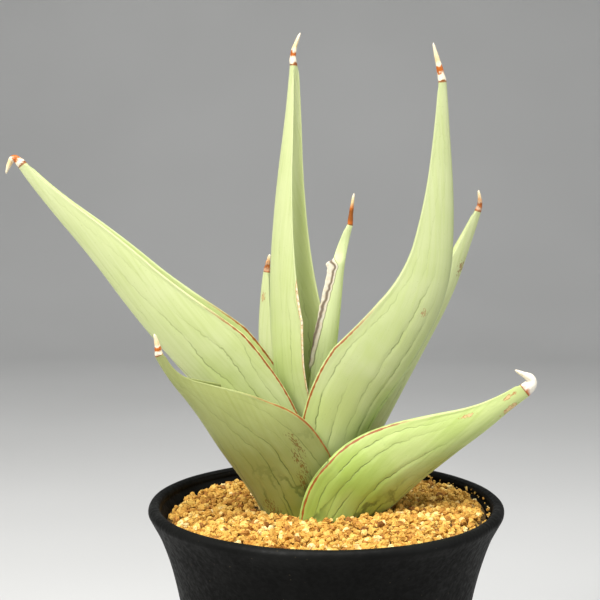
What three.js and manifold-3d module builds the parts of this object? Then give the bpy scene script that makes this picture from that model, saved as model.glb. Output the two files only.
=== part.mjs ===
// A dwarf snake plant with keeled, boat-shaped leaves in a round black pot, with a layer of fine gravel
// over its potting mix. Millimetres, +Z up. The pot stands on Z = 0 and its axis is the Z axis.
// -Y is the front; the two ranks of leaves lean towards -X and +X.
import * as THREE from 'three';
import { mergeVertices } from 'three/addons/utils/BufferGeometryUtils.js';
import Module from 'manifold-3d';

const wasm = await Module();
wasm.setup();

// Pot
const POT_HEIGHT = 105;
const POT_RIM_RADIUS = 60;
const POT_BASE_RADIUS = 41.5;
const POT_WALL = 4;
const POT_FLOOR = 6;
const POT_TAPER = 10; // radius gained in a straight line from the base to the rim
const FLARE_PAST_RIM = 1; // how far outside the rim the body's curve would end if carried to the top
const POT_FLARE_POWER = 5.5;
const LIP_HEIGHT = 5.4; // the rolled lip, measured down from the rim
const LIP_THICKNESS = 4.2;
const FOOT_CHAMFER = 1;
const FLOOR_CHAMFER = 4;
const POT_SEGMENTS = 40;
const WALL_BENDS = 6; // bends of the inner wall between the floor and the lip

// Drain holes, in a ring around the solid middle of the floor
const DRAIN_HOLES = 3;
const DRAIN_HOLE_DIAMETER = 9;
const DRAIN_RING_RADIUS = 18;
const DRAIN_HOLE_SEGMENTS = 20;

// Fill, from the floor up
const CLEARANCE = 0.3; // between any two pieces that rest on each other
const MESH_THICKNESS = 1.2;
const MESH_MARGIN = 5; // how far the mesh reaches past the drain holes
const MESH_SLOT = 2.4;
const MESH_PITCH = 6;
const STONES_DEPTH = 16;
const GRAVEL_DEPTH = 6;
const GRAVEL_BELOW_RIM = 3.7; // at the pot's axis
const GRAVEL_CROWN = 0.6; // half-way out
const GRAVEL_SLOPE = 0.022; // the gravel lies a little higher on the right

// Rhizome: two swollen lengths of underground stem, with tapering roots
const RHIZOME_BELOW_GRAVEL = 13; // from the gravel's top at the axis down to the rhizome's top
const MAIN_RHIZOME = { centre: [-3, 4], radii: [25, 15, 9] };
const REAR_RHIZOME = { centre: [-3, 27], radii: [21, 12, 8] };
const ROOT_RADIUS = 2;
const ROOT_TIP_RADIUS = 0.8;
const ROOT_TO_WALL = 3;
// Each root starts at a place in plan and ends at a bearing in plan. reach and drop are shares of the
// way out to the pot's wall and of the way down to the stones.
const ROOTS = [
  { from: [-18, 4], bearing: 190, reach: 0.85, drop: 0.62 },
  { from: [-8, 0], bearing: 245, reach: 0.78, drop: 0.78 },
  { from: [6, 0], bearing: 300, reach: 0.76, drop: 0.7 },
  { from: [16, 5], bearing: 4, reach: 0.9, drop: 0.74 },
  { from: [-14, 30], bearing: 125, reach: 1, drop: 0.55 },
  { from: [8, 30], bearing: 64, reach: 1, drop: 0.66 },
];

// Leaves
const LEAF_FOOT_ABOVE_RHIZOME = 0.3;
const BLADE_RINGS = 15;
const SPINE_RINGS = 5;
const CURVE_STEPS = 6; // steps of the keel's curve between two rings
const BACK_STEPS = 8; // around the keeled back
const CHANNEL_STEPS = 6; // around the channel
const CHANNEL_WIDTH_SHARE = 0.8; // of the leaf's width
const CHANNEL_DEPTH_SHARE = 0.72; // of the leaf's depth at its foot
const CHANNEL_TIP_SHARE = 0.05;
const CHANNEL_FADE_POWER = 1.5;
const TWIST_DONE_AT = 0.4; // share of the blade by which a leaf has turned fully
const SPINE_TIP_RADIUS = 0.35;
const ENVELOPE_ABOVE_GRAVEL = 8; // height to which the gravel makes room for a leaf

// A leaf stands on its keel. root is the keel's foot in plan, heading the direction in plan that the
// leaf leans in, turn how far it is rolled about its own length, and leans its angles from the
// vertical at even steps from foot to blade's end. depth runs from keel to margins and width from
// margin to margin; both grow from foot to most at the share peak, then fall off to end.
// Listed from the innermost leaf to the outermost.
const LEAVES = [
  {
    name: 'leaf_inner_right',
    root: [0.5, 6], heading: 0, turn: 0, blade: 109.5, leans: [0, 1, 3, 5, 6, 4, 15],
    depth: { foot: 5, most: 8.5, end: 1.9 }, width: { foot: 7, most: 8, end: 1.9 },
    peak: 0.4, shoulder: 2, fall: 1,
    spine: 10.5, spineLeans: [4, 10],
  },
  {
    name: 'leaf_tall_centre',
    root: [-9, 6], heading: 180, turn: 42, blade: 164, leans: [0, 14, 12, -1, -6, -9, -6],
    depth: { foot: 11.5, most: 19.5, end: 2.6 }, width: { foot: 12, most: 12, end: 2.6 },
    peak: 0.48, shoulder: 0.9, fall: 1.05,
    spine: 10.8, spineLeans: [8, -8, -22, -22],
  },
  {
    name: 'leaf_upper_left',
    root: [-14.5, 4], heading: 180, turn: 0, blade: 158, leans: [0, 28, 44, 42, 35, 40, 34],
    depth: { foot: 15, most: 25, end: 3.3 }, width: { foot: 17, most: 18, end: 3.3 },
    peak: 0.42, shoulder: 1.2, fall: 1.2,
    spine: 9.5, spineLeans: [44, 46, 150, 160, 160],
  },
  {
    name: 'leaf_tall_right',
    root: [6, 3], heading: 0, turn: 8, blade: 165, leans: [0, 16, 36, 26, 2, -5, -5],
    depth: { foot: 16, most: 25, end: 2.8 }, width: { foot: 21, most: 20, end: 2.8 },
    peak: 0.35, shoulder: 1.1, fall: 1.2,
    spine: 12.9, spineLeans: [-10, -16, -14],
  },
  {
    name: 'leaf_lower_left',
    root: [-19, -2], heading: 203, turn: 0, blade: 79.5, leans: [0, 30, 36, 32, 39, 27],
    depth: { foot: 24, most: 27.5, end: 2.8 }, width: { foot: 27, most: 27, end: 3 },
    peak: 0.3, shoulder: 2.8, fall: 3.4,
    spine: 7, spineLeans: [5, 20],
  },
  {
    name: 'leaf_lower_right',
    root: [14, -0.5], heading: -3, turn: 18, blade: 76.5, leans: [0, 48, 47, 51, 52, 48, 52],
    depth: { foot: 23, most: 26.5, end: 5 }, width: { foot: 30, most: 30, end: 5 },
    peak: 0.15, shoulder: 1.75, fall: 1.85,
    spine: 11, spineLeans: [54, 40, -60, -65, -60],
  },
  {
    name: 'leaf_back_left',
    root: [-15.7, 33], heading: 180, turn: 20, blade: 92, leans: [0, 9, 12, 6, -3, -9],
    depth: { foot: 9, most: 10.5, end: 2.6 }, width: { foot: 9, most: 9, end: 2.6 },
    peak: 0.4, shoulder: 1.4, fall: 1.1,
    spine: 6.4, spineLeans: [-5, -15],
  },
  {
    name: 'leaf_back_right',
    root: [9, 28], heading: 5, turn: 0, blade: 122.5, leans: [0, 26, 27, 28, 28, 18, 16],
    depth: { foot: 8, most: 11, end: 2.4 }, width: { foot: 10, most: 11, end: 2.4 },
    peak: 0.5, shoulder: 1.8, fall: 1.2,
    spine: 7.5, spineLeans: [26, -5, -13],
  },
];

const POT_FLARE = POT_RIM_RADIUS + FLARE_PAST_RIM - POT_BASE_RADIUS - POT_TAPER; // gained near the rim
const GRAVEL_TOP = POT_HEIGHT - GRAVEL_BELOW_RIM;
const RHIZOME_TOP = GRAVEL_TOP - RHIZOME_BELOW_GRAVEL;
const LEAF_FOOT = RHIZOME_TOP + LEAF_FOOT_ABOVE_RHIZOME;

// ---- Meshes and solids ----

/** Merges a geometry's corners, drops its flat triangles and turns it into a solid. */
function solidOf(geometry) {
  geometry.deleteAttribute('normal');
  geometry.deleteAttribute('uv');
  const merged = mergeVertices(geometry, 1e-4);
  const corners = Float32Array.from(merged.attributes.position.array);
  const index = merged.index.array;
  const kept = [];
  let volume = 0;
  const [a, b, c] = [new THREE.Vector3(), new THREE.Vector3(), new THREE.Vector3()];
  for (let i = 0; i < index.length; i += 3) {
    const [p, q, r] = [index[i], index[i + 1], index[i + 2]];
    if (p === q || q === r || r === p) continue;
    kept.push(p, q, r);
    a.fromArray(corners, 3 * p);
    b.fromArray(corners, 3 * q);
    c.fromArray(corners, 3 * r);
    volume += a.dot(b.cross(c)) / 6;
  }
  if (volume < 0) kept.reverse();
  return new wasm.Manifold(new wasm.Mesh({
    numProp: 3,
    vertProperties: corners,
    triVerts: Uint32Array.from(kept),
  }));
}

/** Turns a solid into a named mesh of one colour. */
function meshOf(name, solid, colour, roughness) {
  const made = solid.getMesh();
  const geometry = new THREE.BufferGeometry();
  geometry.setAttribute('position', new THREE.BufferAttribute(Float32Array.from(made.vertProperties), 3));
  geometry.setIndex(new THREE.BufferAttribute(Uint32Array.from(made.triVerts), 1));
  geometry.computeVertexNormals();
  const mesh = new THREE.Mesh(geometry, new THREE.MeshStandardMaterial({ color: colour, roughness, metalness: 0 }));
  mesh.name = name;
  return mesh;
}

/** The largest separate lump of a solid. */
function largest(solid) {
  return solid.decompose().sort((p, q) => q.volume() - p.volume())[0];
}

/** A turned solid from points [radius, height] that start and end on the axis. */
function turned(points, segments) {
  const profile = points.map(([radius, height]) => new THREE.Vector2(radius, height));
  return solidOf(new THREE.LatheGeometry(profile, segments).rotateX(Math.PI / 2));
}

/** A straight round bar standing on bottom at (x, y). */
function uprightBar(radius, bottom, top, x, y, segments) {
  const bar = new THREE.CylinderGeometry(radius, radius, top - bottom, segments);
  bar.rotateX(Math.PI / 2);
  bar.translate(x, y, (top + bottom) / 2);
  return solidOf(bar);
}

/** Triangles that fill an outline, each wound the way the outline runs. */
function capTriangles(outline) {
  return THREE.ShapeUtils.triangulateShape(outline, []).map((corners) => corners.sort((p, q) => p - q));
}

/** A closed skin over rings of the same number of points, with flat ends cut from their outlines. */
function loft(rings, outlines) {
  const sides = rings[0].length;
  const positions = rings.flat().flatMap((point) => point.toArray());
  const index = [];
  for (let i = 0; i + 1 < rings.length; i += 1) {
    for (let j = 0; j < sides; j += 1) {
      const next = (j + 1) % sides;
      const [low, lowNext] = [i * sides + j, i * sides + next];
      const [high, highNext] = [low + sides, lowNext + sides];
      index.push(low, lowNext, highNext, low, highNext, high);
    }
  }
  const last = (rings.length - 1) * sides;
  for (const [p, q, r] of capTriangles(outlines[0])) index.push(r, q, p);
  for (const [p, q, r] of capTriangles(outlines[1])) index.push(last + p, last + q, last + r);
  const geometry = new THREE.BufferGeometry();
  geometry.setAttribute('position', new THREE.Float32BufferAttribute(positions, 3));
  geometry.setIndex(index);
  return solidOf(geometry);
}

// ---- Pot and fill ----

/** Outer radius of the pot's body at a height: a straight taper plus a flare near the rim. */
function outerRadius(height) {
  const share = height / POT_HEIGHT;
  return POT_BASE_RADIUS + POT_TAPER * share + POT_FLARE * share ** POT_FLARE_POWER;
}

/** Even steps from a to b, both included. */
function steps(a, b, count) {
  return Array.from({ length: count + 1 }, (_, i) => a + ((b - a) * i) / count);
}

// Heights at which the inner wall bends; the fill bends at the same ones.
const WALL_FOOT = POT_FLOOR + FLOOR_CHAMFER;
const WALL_HEIGHTS = [POT_FLOOR, ...steps(WALL_FOOT, POT_HEIGHT - LIP_HEIGHT, WALL_BENDS)];
const WALL_RADII = WALL_HEIGHTS.map((height) => {
  return outerRadius(height) - POT_WALL - (height < WALL_FOOT ? FLOOR_CHAMFER : 0);
});

/** Radius of the pot's inner wall at a height, straight between its bends and upright above them. */
function innerRadius(height) {
  const last = WALL_HEIGHTS.length - 1;
  if (height >= WALL_HEIGHTS[last]) return WALL_RADII[last];
  const above = Math.max(1, WALL_HEIGHTS.findIndex((bend) => bend > height));
  const share = (height - WALL_HEIGHTS[above - 1]) / (WALL_HEIGHTS[above] - WALL_HEIGHTS[above - 1]);
  return WALL_RADII[above - 1] + (WALL_RADII[above] - WALL_RADII[above - 1]) * share;
}

/** Points of the pot's inner wall between two heights, moved inwards by gap. */
function wallPoints(from, to, gap) {
  const bends = WALL_HEIGHTS.filter((bend) => bend > from + gap && bend < to - gap);
  return [from, ...bends, to].map((height) => [innerRadius(height) - gap, height]);
}

function pot() {
  const lipBottom = POT_HEIGHT - LIP_HEIGHT;
  const lipMiddle = POT_RIM_RADIUS - LIP_THICKNESS / 2;
  const bead = LIP_THICKNESS / 2;
  const lip = steps(-0.15, 1.1, 6).map((share) => [
    lipMiddle + bead * Math.cos(Math.PI * share),
    POT_HEIGHT - bead + bead * Math.sin(Math.PI * share),
  ]);
  const body = turned([
    [0, 0],
    [outerRadius(0) - FOOT_CHAMFER, 0],
    ...steps(FOOT_CHAMFER, lipBottom - POT_WALL / 2, 7).map((height) => [outerRadius(height), height]),
    ...lip,
    ...wallPoints(POT_FLOOR, lipBottom, 0).reverse(),
    [0, POT_FLOOR],
  ], POT_SEGMENTS);
  return drainHoles(0).reduce((left, hole) => left.subtract(hole), body);
}

/** The drain holes' bars, longer than the floor is thick. */
function drainHoles(turn) {
  return Array.from({ length: DRAIN_HOLES }, (_, i) => {
    const angle = turn + (2 * Math.PI * (i + 0.25)) / DRAIN_HOLES;
    return uprightBar(
      DRAIN_HOLE_DIAMETER / 2,
      -POT_FLOOR,
      2 * POT_FLOOR,
      DRAIN_RING_RADIUS * Math.cos(angle),
      DRAIN_RING_RADIUS * Math.sin(angle),
      DRAIN_HOLE_SEGMENTS,
    );
  });
}

const MESH_RADIUS = DRAIN_RING_RADIUS + DRAIN_HOLE_DIAMETER / 2 + MESH_MARGIN;
const MESH_BOTTOM = POT_FLOOR + CLEARANCE;
const MESH_TOP = MESH_BOTTOM + MESH_THICKNESS;
const STONES_TOP = MESH_TOP + CLEARANCE + STONES_DEPTH;
const GRAVEL_BOTTOM = GRAVEL_TOP - GRAVEL_DEPTH;

/** A round screen that keeps the mix in, slotted over its whole width. */
function drainMesh() {
  let screen = uprightBar(MESH_RADIUS, MESH_BOTTOM, MESH_TOP, 0, 0, POT_SEGMENTS);
  const reach = MESH_RADIUS - MESH_PITCH / 2;
  const rows = Math.floor(reach / MESH_PITCH);
  for (let row = -rows; row <= rows; row += 1) {
    const y = row * MESH_PITCH;
    const length = 2 * Math.sqrt(reach ** 2 - y ** 2) - MESH_PITCH;
    if (length < MESH_PITCH) continue;
    const slot = new THREE.BoxGeometry(length, MESH_SLOT, 3 * MESH_THICKNESS);
    slot.translate(0, y, (MESH_BOTTOM + MESH_TOP) / 2);
    screen = screen.subtract(solidOf(slot));
  }
  return screen;
}

/** Coarse stones over the floor and the screen. */
function drainageStones() {
  return turned([
    [0, MESH_TOP + CLEARANCE],
    [MESH_RADIUS + CLEARANCE, MESH_TOP + CLEARANCE],
    [MESH_RADIUS + CLEARANCE, POT_FLOOR + CLEARANCE],
    ...wallPoints(POT_FLOOR + CLEARANCE, STONES_TOP, CLEARANCE),
    [0, STONES_TOP],
  ], POT_SEGMENTS);
}

function pottingMix() {
  const bottom = STONES_TOP + CLEARANCE;
  const top = GRAVEL_BOTTOM - CLEARANCE;
  return turned([[0, bottom], ...wallPoints(bottom, top, CLEARANCE), [0, top]], POT_SEGMENTS);
}

/** The gravel layer, whose top is dished slightly and slopes across the pot. */
function gravelLayer() {
  const layer = new THREE.LatheGeometry([
    [0, GRAVEL_BOTTOM],
    ...wallPoints(GRAVEL_BOTTOM, GRAVEL_TOP, CLEARANCE),
    [innerRadius(GRAVEL_TOP) / 2, GRAVEL_TOP + GRAVEL_CROWN],
    [0, GRAVEL_TOP],
  ].map(([radius, height]) => new THREE.Vector2(radius, height)), POT_SEGMENTS).rotateX(Math.PI / 2);
  const points = layer.attributes.position;
  for (let i = 0; i < points.count; i += 1) {
    const height = points.getZ(i);
    if (height > GRAVEL_TOP - CLEARANCE) points.setZ(i, height + GRAVEL_SLOPE * points.getX(i));
  }
  return solidOf(layer);
}

// ---- Rhizome ----

/** The rhizome and its roots, swollen by extra all round. */
function rhizome(extra) {
  const lump = ({ centre, radii }) => {
    const ball = new THREE.SphereGeometry(1, 14, 8).rotateX(Math.PI / 2);
    ball.scale(radii[0] + extra, radii[1] + extra, radii[2] + extra);
    return solidOf(ball.translate(centre[0], centre[1], RHIZOME_TOP - radii[2]));
  };
  const middle = RHIZOME_TOP - MAIN_RHIZOME.radii[2];
  const roots = ROOTS.map(({ from, bearing, reach, drop }) => {
    const start = new THREE.Vector3(from[0], from[1], middle);
    const bottom = middle - drop * (middle - STONES_TOP);
    const out = reach * (innerRadius(bottom) - ROOT_RADIUS - ROOT_TO_WALL);
    const angle = THREE.MathUtils.degToRad(bearing);
    const end = new THREE.Vector3(out * Math.cos(angle), out * Math.sin(angle), bottom);
    const knee = new THREE.Vector3(end.x, end.y, (2 * middle + bottom) / 3);
    const curve = new THREE.QuadraticBezierCurve3(start, knee, end);
    const count = 4;
    const rings = steps(0, 1, count).map((share) => {
      const frame = frameAlong(curve.getTangent(share));
      const radius = ROOT_RADIUS + (ROOT_TIP_RADIUS - ROOT_RADIUS) * share + extra;
      const grown = share === 1 ? extra : 0;
      const centre = curve.getPoint(share).addScaledVector(curve.getTangent(share), grown);
      return steps(0, 2 * Math.PI, 6).slice(1).map((angle) => centre.clone()
        .addScaledVector(frame.side, radius * Math.cos(angle))
        .addScaledVector(frame.up, radius * Math.sin(angle)));
    });
    const outline = steps(0, 2 * Math.PI, 6).slice(1).map((a) => new THREE.Vector2(Math.cos(a), Math.sin(a)));
    return loft(rings, [outline, outline]);
  });
  return [lump(REAR_RHIZOME), ...roots].reduce((whole, piece) => whole.add(piece), lump(MAIN_RHIZOME));
}

/** Two directions square to a tangent that points downwards or sideways. */
function frameAlong(tangent) {
  const side = new THREE.Vector3(0, 1, 0).cross(tangent).normalize();
  return { side, up: tangent.clone().cross(side).normalize() };
}

// ---- Leaves ----

/** The value at a share along a list of evenly spaced values. */
function along(values, share) {
  const place = Math.min(share, 1) * (values.length - 1);
  const before = Math.min(Math.floor(place), values.length - 2);
  return values[before] + (values[before + 1] - values[before]) * (place - before);
}

function smooth(share) {
  const held = Math.min(Math.max(share, 0), 1);
  return held * held * (3 - 2 * held);
}

/** A leaf's depth or width at a share of its blade. */
function girth({ foot, most, end }, leaf, share) {
  if (share < leaf.peak) return foot + (most - foot) * smooth(share / leaf.peak);
  const past = Math.min((share - leaf.peak) / (1 - leaf.peak), 1);
  return end + (most - end) * (1 - past ** leaf.shoulder) ** leaf.fall;
}

/** A leaf's keel: points with their frames at even shares of its blade, then along its spine. */
function keelFrames(leaf) {
  const heading = THREE.MathUtils.degToRad(leaf.heading);
  const outwards = new THREE.Vector3(Math.cos(heading), Math.sin(heading), 0);
  const upwards = new THREE.Vector3(0, 0, 1);
  const sideways = upwards.clone().cross(outwards);
  const frameAt = (lean, share) => {
    const angle = THREE.MathUtils.degToRad(lean);
    const turn = THREE.MathUtils.degToRad(leaf.turn) * smooth(share / TWIST_DONE_AT);
    const inwards = outwards.clone().multiplyScalar(-Math.cos(angle)).addScaledVector(upwards, Math.sin(angle));
    return {
      straight: inwards,
      inward: inwards.clone().multiplyScalar(Math.cos(turn)).addScaledVector(sideways, Math.sin(turn)),
      side: sideways.clone().multiplyScalar(Math.cos(turn)).addScaledVector(inwards, -Math.sin(turn)),
    };
  };
  const walk = (point, leans, from, to, length) => {
    const angle = THREE.MathUtils.degToRad(along(leans, (from + to) / 2));
    point.addScaledVector(outwards, length * (to - from) * Math.sin(angle));
    point.addScaledVector(upwards, length * (to - from) * Math.cos(angle));
  };
  const point = new THREE.Vector3(leaf.root[0], leaf.root[1], LEAF_FOOT);
  const blade = [];
  for (let ring = 0; ring < BLADE_RINGS; ring += 1) {
    const share = ring / (BLADE_RINGS - 1);
    const { inward, side, straight } = frameAt(along(leaf.leans, share), share);
    const half = girth(leaf.depth, leaf, share) / 2;
    // The leaf turns about its middle, so its keel moves sideways as it turns.
    const keel = point.clone().addScaledVector(straight, half).addScaledVector(inward, -half);
    blade.push({ point: keel, share, inward, side });
    for (const step of steps(share, share + 1 / (BLADE_RINGS - 1), CURVE_STEPS).slice(1)) {
      if (step > 1 + 1e-9) break;
      walk(point, leaf.leans, step - 1 / (BLADE_RINGS - 1) / CURVE_STEPS, step, leaf.blade);
    }
  }
  const tip = blade[BLADE_RINGS - 1];
  const centre = tip.point.clone().addScaledVector(tip.inward, leaf.depth.end / 2);
  const spine = [];
  for (let ring = 1; ring <= SPINE_RINGS; ring += 1) {
    const share = ring / SPINE_RINGS;
    walk(centre, leaf.spineLeans, (ring - 1) / SPINE_RINGS, share, leaf.spine);
    spine.push({ point: centre.clone(), share, ...frameAt(along(leaf.spineLeans, share), 1) });
  }
  return { blade, spine };
}

/** A boat-shaped section: a half-ellipse back, then a shallower half-ellipse channel. */
function boatSection(width, depth, channel) {
  const back = steps(0, Math.PI, BACK_STEPS).map((angle) => new THREE.Vector2(
    (width / 2) * Math.cos(angle),
    depth * (1 - Math.sin(angle)),
  ));
  const trough = steps(Math.PI, 0, CHANNEL_STEPS).map((angle) => new THREE.Vector2(
    (width / 2) * CHANNEL_WIDTH_SHARE * Math.cos(angle),
    depth - channel * Math.sin(angle),
  ));
  return [...back, ...trough];
}

function placed(section, { point, side, inward }, offset) {
  return section.map(({ x, y }) => point.clone().addScaledVector(side, x).addScaledVector(inward, y + offset));
}

function leafSolid(leaf) {
  const { blade, spine } = keelFrames(leaf);
  const rings = [];
  const outlines = [];
  for (const frame of blade) {
    const depth = girth(leaf.depth, leaf, frame.share);
    const fade = 1 - frame.share ** CHANNEL_FADE_POWER;
    const channel = depth * (CHANNEL_TIP_SHARE + (CHANNEL_DEPTH_SHARE - CHANNEL_TIP_SHARE) * fade);
    const section = boatSection(girth(leaf.width, leaf, frame.share), depth, channel);
    outlines.push(section);
    rings.push(placed(section, frame, 0));
  }
  for (const frame of spine) {
    const size = leaf.depth.end + (2 * SPINE_TIP_RADIUS - leaf.depth.end) * frame.share;
    const section = boatSection(size, size, size * CHANNEL_TIP_SHARE);
    outlines.push(section);
    rings.push(placed(section, frame, -size / 2));
  }
  return loft(rings, [outlines[0], outlines[outlines.length - 1]]);
}

/** The room a leaf takes up, its channel filled, with the clearance all round. */
function leafEnvelope(leaf) {
  const { blade } = keelFrames(leaf);
  blade[0].point.z -= 2 * CLEARANCE;
  const rings = [];
  const outlines = [];
  for (const frame of blade) {
    const depth = girth(leaf.depth, leaf, frame.share) + 2 * CLEARANCE;
    const width = girth(leaf.width, leaf, frame.share) + 2 * CLEARANCE;
    const section = boatSection(width, depth, depth * CHANNEL_TIP_SHARE).slice(0, BACK_STEPS + 1);
    outlines.push(section);
    rings.push(placed(section, frame, -CLEARANCE));
  }
  return loft(rings, [outlines[0], outlines[outlines.length - 1]]);
}

// ---- The plant in its pot ----

const group = new THREE.Group();
const envelopes = LEAVES.map(leafEnvelope);

// Each leaf clasps the ones inside it, so it makes room for them.
LEAVES.forEach((leaf, place) => {
  const inner = envelopes.slice(0, place);
  const trimmed = largest(inner.reduce((left, envelope) => left.subtract(envelope), leafSolid(leaf)));
  group.add(meshOf(leaf.name, trimmed, 0xc3cf86, 0.55));
});

const below = uprightBar(
  2 * POT_RIM_RADIUS, RHIZOME_TOP - POT_HEIGHT, GRAVEL_TOP + ENVELOPE_ABOVE_GRAVEL, 0, 0, POT_SEGMENTS,
);
const rosette = envelopes.reduce((whole, envelope) => whole.add(envelope)).intersect(below);
const buried = rosette.add(rhizome(CLEARANCE));

group.add(meshOf('pot', pot(), 0x14150f, 0.6));
group.add(meshOf('drain_mesh', drainMesh(), 0x202020, 0.6));
group.add(meshOf('drainage_stones', drainageStones(), 0xb9a88c, 0.95));
group.add(meshOf('potting_mix', largest(pottingMix().subtract(buried)), 0x33271b, 1));
group.add(meshOf('gravel_top_dressing', largest(gravelLayer().subtract(rosette)), 0xd3a659, 0.9));
group.add(meshOf('rhizome', rhizome(0), 0xd8c79a, 0.7));

export default group;
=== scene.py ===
"""A potted dwarf snake plant: eight canoe-shaped leaves over golden grit in a matt black pot.

Sizes are in millimetres and become metres when a mesh is made. Z is up and the pot stands on z = 0.
"""

import logging
import math
from dataclasses import dataclass, field
from enum import Enum

import bmesh
import bpy
import numpy as np
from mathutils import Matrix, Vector
from mathutils.bvhtree import BVHTree


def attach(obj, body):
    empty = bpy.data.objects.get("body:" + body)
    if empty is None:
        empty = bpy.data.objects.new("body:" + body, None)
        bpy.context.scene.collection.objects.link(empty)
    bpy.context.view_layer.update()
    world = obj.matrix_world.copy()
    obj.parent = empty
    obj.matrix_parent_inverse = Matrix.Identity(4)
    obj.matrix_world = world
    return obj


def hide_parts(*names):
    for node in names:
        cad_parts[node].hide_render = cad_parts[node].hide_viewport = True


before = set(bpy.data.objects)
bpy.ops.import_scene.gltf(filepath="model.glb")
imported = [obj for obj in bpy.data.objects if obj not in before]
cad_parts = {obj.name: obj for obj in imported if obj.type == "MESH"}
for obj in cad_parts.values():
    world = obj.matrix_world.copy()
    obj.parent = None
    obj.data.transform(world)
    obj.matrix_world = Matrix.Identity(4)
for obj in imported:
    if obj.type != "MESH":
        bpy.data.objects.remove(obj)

Array = np.ndarray
Colour = tuple[float, float, float]
Point = tuple[float, float, float]
Span = tuple[float, float]
Socket = bpy.types.NodeSocket
Material = bpy.types.Material
Piece = bpy.types.Object
LOG = logging.getLogger("snake_plant")

MM = 0.001
UP = np.array([0.0, 0.0, 1.0])
BODY = "root"
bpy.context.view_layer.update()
LATTICE_SIZE = 64


# ---- Surfaces ----


def smooth(share: Array) -> Array:
    """Eases a share from 0 to 1 as three squares less two cubes, held outside that span."""
    held = np.clip(share, 0.0, 1.0)
    return held * held * (3 - 2 * held)


def hump(share: Array, start: float, end: float, soft: float) -> Array:
    """One between start and end, easing to nothing over soft at either side."""
    return smooth((share - start) / soft + 0.5) * smooth((end - share) / soft + 0.5)


def rolling(across: Array, along: Array, seed: int) -> Array:
    """Smooth random heights over a plane.

    A seeded lattice of values between -1 and 1, each cell blended from its four corners with the
    eased shares of the place within it.

    Args:
        across: First coordinate, in lattice cells.
        along: Second coordinate, in lattice cells.
        seed: Seed of the lattice.

    Returns:
        The height at each place, between -1 and 1.
    """
    size = LATTICE_SIZE
    table = np.random.default_rng(seed).uniform(-1, 1, (size, size))
    i, j = np.floor(across).astype(int), np.floor(along).astype(int)
    s, t = smooth(across - i), smooth(along - j)
    near = table[i % size, j % size] * (1 - s) + table[(i + 1) % size, j % size] * s
    far = table[i % size, (j + 1) % size] * (1 - s) + table[(i + 1) % size, (j + 1) % size] * s
    return near * (1 - t) + far * t


def tube_faces(rows: int, columns: int) -> list[list[int]]:
    """Quads between neighbouring rows of a closed tube, and a fan to a pole at each end.

    Args:
        rows: Rows of points along the tube.
        columns: Points around each row.

    Returns:
        The faces; the two poles follow the tube's own points, the first row's first.
    """
    here = np.arange(columns)
    after = np.roll(here, -1)
    first = np.arange(rows - 1)[:, None] * columns
    quads = np.stack(
        [first + here, first + after, first + columns + after, first + columns + here], -1
    )
    low, high, last = rows * columns, rows * columns + 1, (rows - 1) * columns
    fans = [
        np.stack([np.full(columns, low), after, here], -1),
        np.stack([np.full(columns, high), last + here, last + after], -1),
    ]
    return quads.reshape(-1, 4).tolist() + fans[0].tolist() + fans[1].tolist()


def rounded(points: Array, times: int) -> Array:
    """Cuts an open line's corners: each span gives its points at a quarter and three quarters."""
    for _ in range(times):
        quarter = points[:-1] * 0.75 + points[1:] * 0.25
        three = points[:-1] * 0.25 + points[1:] * 0.75
        middle = np.stack([quarter, three], 1).reshape(-1, points.shape[1])
        points = np.vstack([points[:1], middle, points[-1:]])
    return points


def show(piece: Piece) -> None:
    """Links a piece into the scene."""
    bpy.context.scene.collection.objects.link(piece)


def make_piece(
    name: str,
    points: Array,
    faces: list[list[int]],
    layers: dict[str, Array],
    material: Material,
    facets: bool = False,
) -> Piece:
    """Puts arrays into a mesh object with its faces pointing out.

    Args:
        name: The piece's name.
        points: Points in millimetres, one row each.
        faces: Indices of each face's corners.
        layers: A value for every point, by the name that its material reads.
        material: The finish.
        facets: True for flat faces with crisp edges.

    Returns:
        The object, at the origin.
    """
    mesh = bpy.data.meshes.new(name)
    mesh.from_pydata((points * MM).tolist(), [], faces)
    for layer, values in layers.items():
        store = mesh.attributes.new(layer, "FLOAT", "POINT")
        store.data.foreach_set("value", np.ascontiguousarray(values, np.float32).ravel())
    shell = bmesh.new()
    shell.from_mesh(mesh)
    if shell.calc_volume(signed=True) < 0:
        mesh.flip_normals()
    shell.free()
    mesh.polygons.foreach_set("use_smooth", np.full(len(mesh.polygons), not facets))
    mesh.materials.append(material)
    mesh.update()
    piece = bpy.data.objects.new(name, mesh)
    show(piece)
    return piece


def fit_in(piece: Piece, slot: str, *nodes: str) -> None:
    """Rides a piece on the plant's body and hides the CAD nodes that it stands for."""
    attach(piece, BODY)
    if nodes:
        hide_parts(*nodes)
    LOG.info("%s: %d faces", piece.name, len(piece.data.polygons))


# ---- Finishes ----


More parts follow.
